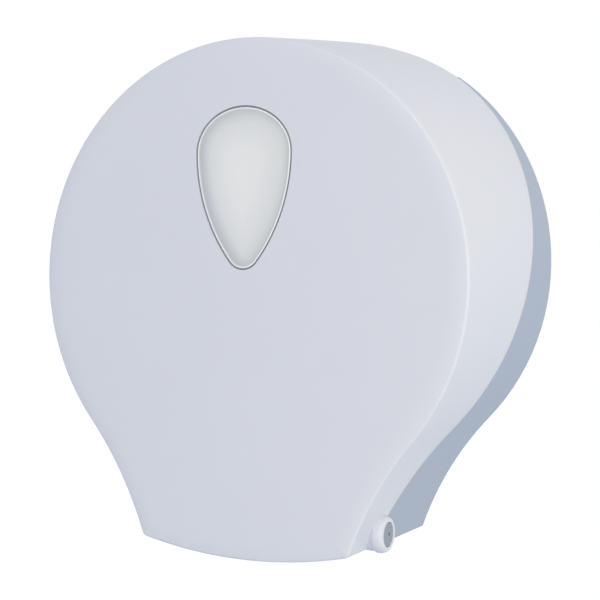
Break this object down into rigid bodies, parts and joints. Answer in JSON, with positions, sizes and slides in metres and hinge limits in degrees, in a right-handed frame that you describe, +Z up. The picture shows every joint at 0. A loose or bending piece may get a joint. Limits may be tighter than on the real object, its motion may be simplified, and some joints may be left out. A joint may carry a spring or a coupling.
{
  "type": "jumbo toilet roll dispenser",
  "caption": "Wall-held round jumbo toilet roll dispenser with a drafted white cover, a teardrop sight window, a grey-blue wedge base, a side key lock and a turning roll hub.",
  "frame": {"origin": "centre of the wall screw pattern, on the wall plane and on the roll spindle's axis", "axes": "+Z up along the wall, +Y into the wall (the front faces -Y), +X to the right seen from the front, where the lock is"},
  "size_m": [0.27, 0.1308, 0.2998],
  "materials": {
    "cover_abs": "fine satin moulded ABS, cool white",
    "base_abs": "satin moulded ABS, pale grey-blue",
    "frosted_window": "frosted translucent plastic, softly pillowed",
    "plug_plastic": "moulded mid-grey plastic",
    "hub_plastic": "moulded grey plastic",
    "brake_fibre": "pressed fibre",
    "zinc_steel": "zinc-plated steel",
    "turned_steel": "turned steel",
    "spring_steel": "blued spring steel",
    "stainless_strip": "brushed stainless strip"
  },
  "bodies": {
    "base": {"base_shell": "base_abs", "hinge_pin_left": "zinc_steel", "hinge_pin_right": "zinc_steel", "keeper": "zinc_steel", "keeper_screws": "zinc_steel", "spindle_axle": "turned_steel", "axle_screws": "zinc_steel", "brake_washer": "brake_fibre", "disc_spring": "spring_steel", "hub_cap": "hub_plastic", "cap_screw": "zinc_steel", "tear_bar": "stainless_strip", "tear_bar_screws": "zinc_steel"},
    "cover": {"front_cover": "cover_abs", "window_pane": "frosted_window", "window_frame": "cover_abs", "window_screws": "zinc_steel"},
    "lock": {"lock_plug": "plug_plastic", "lock_washer": "zinc_steel", "lock_cam": "zinc_steel", "cam_screw": "zinc_steel"},
    "hub": {"roll_hub": "hub_plastic"}
  },
  "joints": [
    {"name": "cover_hinge", "type": "hinge", "parent": "base", "child": "cover", "pos_m": [0, -0.03, 0.12201], "axis": [-1, 0, 0], "range_deg": [0, 95]},
    {"name": "lock_turn", "type": "hinge", "parent": "cover", "child": "lock", "pos_m": [0.065, -0.0945, -0.1498], "axis": [1, 0, 0], "range_deg": [0, 90]},
    {"name": "hub_spin", "type": "hinge", "parent": "base", "child": "hub", "pos_m": [0, -0.072, 0], "axis": [0, -1, 0], "continuous": true}
  ]
}
